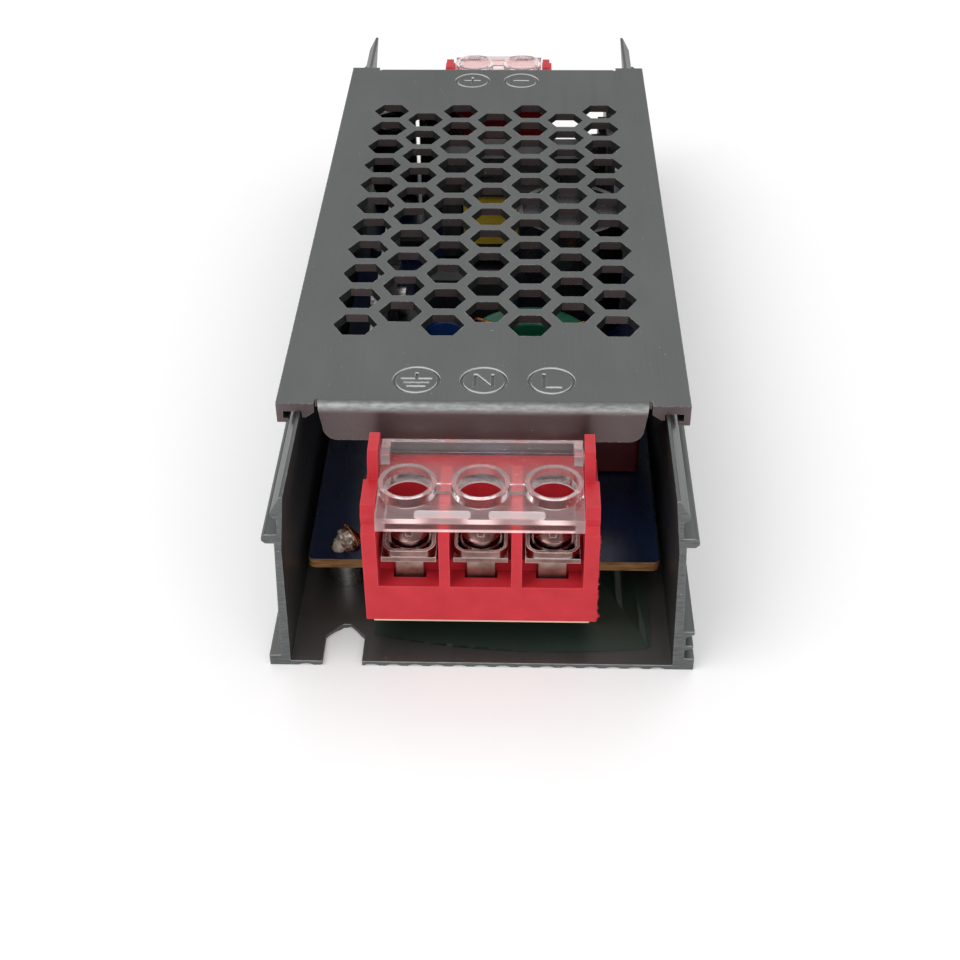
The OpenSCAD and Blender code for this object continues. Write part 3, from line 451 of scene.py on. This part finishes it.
def yellow_tape():
    """Wound polyester tape with its layers showing."""
    f = Finish("yellow_tape")
    layers = f.grain(0.35, stretch=(60, 60, 1), detail=2)
    f.set(base_color=f.blend(f.span(layers, 0.3, 0.7), (0.62, 0.40, 0.02), (0.80, 0.60, 0.08)))
    f.set(roughness=0.32, coat_weight=0.3, coat_roughness=0.15)
    f.set(normal=f.relief(layers, 0.05, 0.5))
    return f.material


def flux():
    """Glassy brown flux left round a solder joint."""
    f = Finish("flux")
    f.set(base_color=f.blend(f.span(f.grain(0.9), 0.35, 0.65), (0.05, 0.012, 0.004), (0.22, 0.07, 0.02)))
    f.set(roughness=0.16, coat_weight=0.5, coat_roughness=0.08)
    f.set(normal=f.relief(f.grain(0.6), 0.08, 0.5))
    return f.material


MATERIALS = {
    "dark_aluminium": anodised_metal(),
    "green_film": film(),
    "board": board(),
    "plated_steel": metal("plated_steel", (0.42, 0.42, 0.40), (0.66, 0.66, 0.64), 0.22),
    "solder": solder(),
    "red_plastic": red_plastic(),
    "clear_plastic": clear_plastic(),
    "contact_metal": metal("contact_metal", (0.24, 0.20, 0.16), (0.46, 0.41, 0.35), 0.30,
                           (14, 1, 1), 0.25, 0.012),
    "chrome": clamp_metal(),
    "brown_plastic": moulded("brown_plastic", (0.05, 0.022, 0.010), (0.09, 0.040, 0.018)),
    "blue_coating": moulded("blue_coating", (0.012, 0.05, 0.24), (0.02, 0.09, 0.36), 0.3, 3, 0.5),
    "green_coating": moulded("green_coating", (0.010, 0.11, 0.06), (0.020, 0.19, 0.10), 0.38, 3, 0.3),
    "dark_red_plastic": moulded("dark_red_plastic", (0.09, 0.006, 0.010), (0.15, 0.012, 0.016), 0.34, 3, 0.3),
    "copper_wire": metal("copper_wire", (0.34, 0.11, 0.03), (0.68, 0.30, 0.10), 0.2),
    "black_plastic": moulded("black_plastic", (0.010, 0.010, 0.011), (0.024, 0.024, 0.026)),
    "black_sleeve": moulded("black_sleeve", (0.008, 0.008, 0.011), (0.018, 0.018, 0.022), 0.28, 4, 0.4),
    "bare_aluminium": metal("bare_aluminium", (0.42, 0.43, 0.44), (0.62, 0.63, 0.64), 0.3, (1, 40, 1), 0.4),
    "ferrite": moulded("ferrite", (0.018, 0.018, 0.020), (0.045, 0.045, 0.048), 0.55, 1.2),
    "yellow_tape": yellow_tape(),
    "yellow_core": moulded("yellow_core", (0.42, 0.28, 0.02), (0.58, 0.42, 0.05), 0.5),
}


# Finish of the CAD nodes. Widths of softened edges are in millimetres.

SOFT_EDGES = {
    "base_channel": 0.10, "top_cover": 0.12, "ac_terminal_block": 0.16, "dc_terminal_block": 0.16,
    "ac_terminal_flap": 0.05, "dc_terminal_flap": 0.05, "film_capacitor": 0.6, "fuse": 0.15,
    "transformer_winding": 0.3, "insulation_sheet": 0.0, "earth_joint": 0.0,
}
CONTACT_EDGE = 0.28
USUAL_EDGE = 0.1


def soften(node, width):
    """Rounds the sharp edges of a CAD node for the render, and shades its flat faces flat."""
    shape = NODES[node]
    weld = shape.modifiers.new("weld", "WELD")
    weld.merge_threshold = 0.002 * MM
    flat = shape.modifiers.new("flat", "DECIMATE")
    flat.decimate_type = "DISSOLVE"
    flat.angle_limit = math.radians(0.5)
    if width:
        bevel = shape.modifiers.new("bevel", "BEVEL")
        bevel.width = width * MM
        bevel.segments = 2
        bevel.limit_method = "ANGLE"
        bevel.angle_limit = math.radians(32)
        bevel.use_clamp_overlap = True
    shading = shape.modifiers.new("shading", "WEIGHTED_NORMAL")
    shading.keep_sharp = False
    shading.weight = 60


def finish_nodes():
    """Gives each CAD node the finish of its slot in the record, and softens its edges."""
    slots = {s["node"]: s["material_slot"] for s in frame["record"]["subparts"]}
    for name, shape in NODES.items():
        shape.data.materials.clear()
        shape.data.materials.append(MATERIALS[slots[name]])
        usual = CONTACT_EDGE if "_contact_" in name else USUAL_EDGE
        soften(name, SOFT_EDGES.get(name, usual))


# Pieces too fine or too loose for CAD

def add_piece(name, mesh, slot, material=None, body="converter"):
    """A new piece of the object, riding on a body, with the finish of one of the record's slots."""
    piece = bpy.data.objects.new(name, mesh)
    bpy.context.scene.collection.objects.link(piece)
    mesh.materials.clear()
    mesh.materials.append(material or MATERIALS[slot])
    for polygon in mesh.polygons:
        polygon.use_smooth = True
    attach(piece, body)
    return piece


def wire_mesh(name, paths, radius, sides=3):
    """Round wires of one radius along lists of points, all in millimetres, as one mesh."""
    curve = bpy.data.curves.new(name, "CURVE")
    curve.dimensions = "3D"
    curve.bevel_depth = radius * MM
    curve.bevel_resolution = sides
    curve.use_fill_caps = True
    for path in paths:
        line = curve.splines.new("POLY")
        line.points.add(len(path) - 1)
        for point, place in zip(line.points, path):
            point.co = (*(Vector(place) * MM), 1)
    holder = bpy.data.objects.new(name, curve)
    mesh = bpy.data.meshes.new_from_object(holder)
    bpy.data.objects.remove(holder)
    bpy.data.curves.remove(curve)
    mesh.name = name
    return mesh


def ring_turns(core, wire, middle_deg, span_deg, turns):
    """One layer of wire round a ring core, in millimetres, with both ends led down to the board."""
    low, high = (Vector(corner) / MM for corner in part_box(core))
    centre = (low + high) / 2
    outer = (high.x - low.x) / 2
    bore = outer * RING_BORE
    half_w = (outer - bore) / 2 + wire / 2
    half_h = (high.z - low.z) / 2 + wire / 2
    squareness = 2 / 6
    steps = 28
    path = []
    for i in range(turns * steps + 1):
        share = i / (turns * steps)
        angle = math.radians(middle_deg + span_deg * (share - 0.5))
        phase = 2 * math.pi * i / steps
        out, up = math.cos(phase), math.sin(phase)
        radius = (outer + bore) / 2 + half_w * math.copysign(abs(out) ** squareness, out)
        rise = half_h * math.copysign(abs(up) ** squareness, up)
        across, along = radius * math.cos(angle), radius * math.sin(angle)
        path.append((centre.x + across, centre.y + along, centre.z + rise))
    board_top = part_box("circuit_board")[1].z / MM
    first, last = path[0], path[-1]
    return [(first[0], first[1], board_top), *path, (last[0], last[1], board_top)]


def wind_cores():
    """Round wire on both ring cores, in place of their plain windings."""
    choke = [ring_turns("choke_core", COIL_WIRE, middle, 68, 7) for middle in (0, 180)]
    choke_wire = wire_mesh("choke_wire", choke, TURN_RADIUS)
    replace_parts(add_piece("choke_wire", choke_wire, "copper_wire"), "choke_windings")
    coil = [ring_turns("output_inductor_core", COIL_WIRE, 0, 292, 12)]
    coil_wire = wire_mesh("output_inductor_wire", coil, TURN_RADIUS)
    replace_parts(add_piece("output_inductor_wire", coil_wire, "copper_wire"), "output_inductor_winding")


def lump(name, radius, height, seed, roughness):
    """A drop of solder or flux on a flat seat: a squashed ball with an uneven skin."""
    shape = bmesh.new()
    bmesh.ops.create_icosphere(shape, subdivisions=5, radius=1)
    offset = Vector((seed, seed * 2.3, seed * 0.7))
    for vertex in shape.verts:
        swell = 1 + roughness * noise.noise(vertex.co * 1.6 + offset)
        swell += roughness * 0.5 * noise.noise(vertex.co * 4.2 + offset)
        place = vertex.co * swell / (1 + roughness * 1.2)
        vertex.co = Vector((place.x * radius, place.y * radius, max(0.0, place.z) * height)) * MM
    bmesh.ops.remove_doubles(shape, verts=shape.verts, dist=0.0005 * MM)
    mesh = bpy.data.meshes.new(name)
    shape.to_mesh(mesh)
    shape.free()
    return mesh


def earth_joint():
    """The hand-soldered earth joint: a lumpy drop with a bead, brown flux and loose copper strands."""
    low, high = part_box("earth_joint")
    board_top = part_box("circuit_board")[1].z
    seat = Vector(((low.x + high.x) / 2, (low.y + high.y) / 2, board_top))
    radius = (high.x - low.x) / 2 / MM
    height = (high.z - board_top) / MM
    drop = lump("earth_solder", radius * 0.95, height, 4.0, 0.42)
    drop.transform(Matrix.Translation(seat))
    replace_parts(add_piece("earth_solder", drop, "solder"), "earth_joint")
    bead = lump("earth_bead", radius * 0.5, height * 0.62, 2.0, 0.12)
    bead.transform(Matrix.Translation(seat + Vector((-0.30, -0.45, 0)) * radius * MM))
    clean = moulded("clean_solder", (0.44, 0.39, 0.32), (0.62, 0.56, 0.48), 0.3, 1.2, 0.5)
    add_piece("earth_bead", bead, "solder", clean)
    pool = lump("earth_flux", radius * 1.12, 0.35, 9.0, 0.3)
    pool.transform(Matrix.Translation(seat))
    add_piece("earth_flux", pool, "solder", flux())
    chance = random.Random(7)
    strand_count, strand_steps = 9, 12
    strands = []
    for _ in range(strand_count):
        start, turn = chance.uniform(-0.6, 1.6), chance.uniform(0.9, 1.9)
        lift = chance.uniform(0.72, 1.0)
        strand = []
        for i in range(strand_steps + 1):
            t = i / strand_steps
            angle = start + turn * t
            reach = radius * (0.93 - 0.75 * math.sin(math.pi * t) * lift)
            rise = 0.1 + height * 0.98 * math.sin(math.pi * (0.04 + 0.92 * t)) * lift
            strand.append(seat / MM + Vector((reach * math.cos(angle), reach * math.sin(angle), rise)))
        strands.append(strand)
    add_piece("earth_strands", wire_mesh("earth_strands", strands, 0.13, 2), "copper_wire")


def block_flash():
    """The ragged mould flash along the outer front edge of the AC block, on its live side."""
    low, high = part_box("ac_terminal_block")
    edge = high.x / MM
    front = low.y / MM
    bottom = low.z / MM
    flash_height, steps = 15.0, 90
    blob_rise, blob_half, blob_reach = 0.9, 0.5, 0.35
    sunk = 0.15
    chance = random.Random(3)
    corners = []
    for i in range(steps + 1):
        height = bottom + flash_height * i / steps
        ragged = chance.uniform(0.02, 0.30) * (0.4 + chance.random())
        blob = math.exp(-((height - bottom - blob_rise) / blob_half) ** 2)
        corners.append((edge - sunk, front - 0.02, height))
        corners.append((edge + ragged + blob_reach * blob, front + 0.12, height))
        corners.append((edge - sunk, front + 0.35, height))
    faces = [(0, 2, 1), (3 * steps, 3 * steps + 1, 3 * steps + 2)]
    for i in range(steps):
        for side in range(3):
            a, b = 3 * i + side, 3 * i + (side + 1) % 3
            faces.append((a, b, b + 3, a + 3))
    mesh = bpy.data.meshes.new("block_flash")
    mesh.from_pydata([Vector(corner) * MM for corner in corners], [], faces)
    add_piece("block_flash", mesh, "red_plastic")


# Studio, in metres and watts

LIGHT_TARGET = (0, -0.04, 0.02)
LIGHTS = (
    ("key", (-0.35, -0.30, 0.62), (0.55, 0.45), 1.9),
    ("back", (0.10, 0.55, 0.60), (0.8, 0.4), 1.2),
    ("fill", (0.25, -0.60, 0.34), (0.6, 0.35), 0.8),
)
FLOOR_HALF = 3.0


def aim(thing, place, target):
    """Puts a thing at a place, with its front towards a target."""
    thing.location = place
    thing.rotation_mode = "QUATERNION"
    thing.rotation_quaternion = (Vector(target) - Vector(place)).to_track_quat("-Z", "Y")


def add_light(name, place, size, power):
    """A rectangular area light that looks at the part's AC end."""
    lamp = bpy.data.lights.new(name, "AREA")
    lamp.shape = "RECTANGLE"
    lamp.size, lamp.size_y = size
    lamp.energy = power
    holder = bpy.data.objects.new(name, lamp)
    bpy.context.scene.collection.objects.link(holder)
    aim(holder, place, LIGHT_TARGET)


def add_floor():
    """A pale floor under the part, faintly lit by itself so that it stays near white."""
    corners = [(x * FLOOR_HALF, y * FLOOR_HALF, 0) for x, y in ((-1, -1), (1, -1), (1, 1), (-1, 1))]
    mesh = bpy.data.meshes.new("floor")
    mesh.from_pydata(corners, [], [(0, 1, 2, 3)])
    f = Finish("floor")
    f.set(base_color=f.blend(f.grain(400), (0.93, 0.93, 0.93), (0.95, 0.95, 0.95)), roughness=0.6)
    f.set(emission_color=(1, 1, 1, 1), emission_strength=0.12)
    mesh.materials.append(f.material)
    ground = bpy.data.objects.new("floor", mesh)
    ground.location.z = cad_low.z
    bpy.context.scene.collection.objects.link(ground)


def light_studio():
    """A white surrounding, three area lights and the plain view transform."""
    world = bpy.data.worlds.new("studio")
    bpy.context.scene.world = world
    world.use_nodes = True
    sky = world.node_tree.nodes["Background"].inputs
    sky["Color"].default_value = (1, 1, 1, 1)
    sky["Strength"].default_value = 0.62
    for light in LIGHTS:
        add_light(*light)
    bpy.context.scene.view_settings.view_transform = "Standard"


# The camera of the photograph: angles in degrees, sensor in millimetres
CAMERA_PLACE = Vector((4.985, -219.353, 145.89)) * MM
CAMERA_TILT, CAMERA_TURN, CAMERA_ROLL = 38.124, -1.92, -0.63
FOCAL_PIXELS, FRAME_PIXELS, SENSOR = 1489.7, 960, 36.0


def add_camera():
    """The photograph's view: focal length and place from a fit of the part's corners to the picture."""
    camera = bpy.data.cameras.new("camera")
    camera.sensor_width = SENSOR
    camera.lens = FOCAL_PIXELS * SENSOR / FRAME_PIXELS
    camera.clip_start, camera.clip_end = 0.01, 10
    holder = bpy.data.objects.new("camera", camera)
    bpy.context.scene.collection.objects.link(holder)
    tilt, turn, roll = (math.radians(a) for a in (CAMERA_TILT, CAMERA_TURN, CAMERA_ROLL))
    upright = Matrix.Rotation(-turn, 4, "Z") @ Matrix.Rotation(math.pi / 2 - tilt, 4, "X")
    holder.matrix_world = Matrix.Translation(CAMERA_PLACE) @ upright @ Matrix.Rotation(roll, 4, "Z")
    bpy.context.scene.camera = holder


finish_nodes()
wind_cores()
earth_joint()
block_flash()
add_floor()
light_studio()
add_camera()
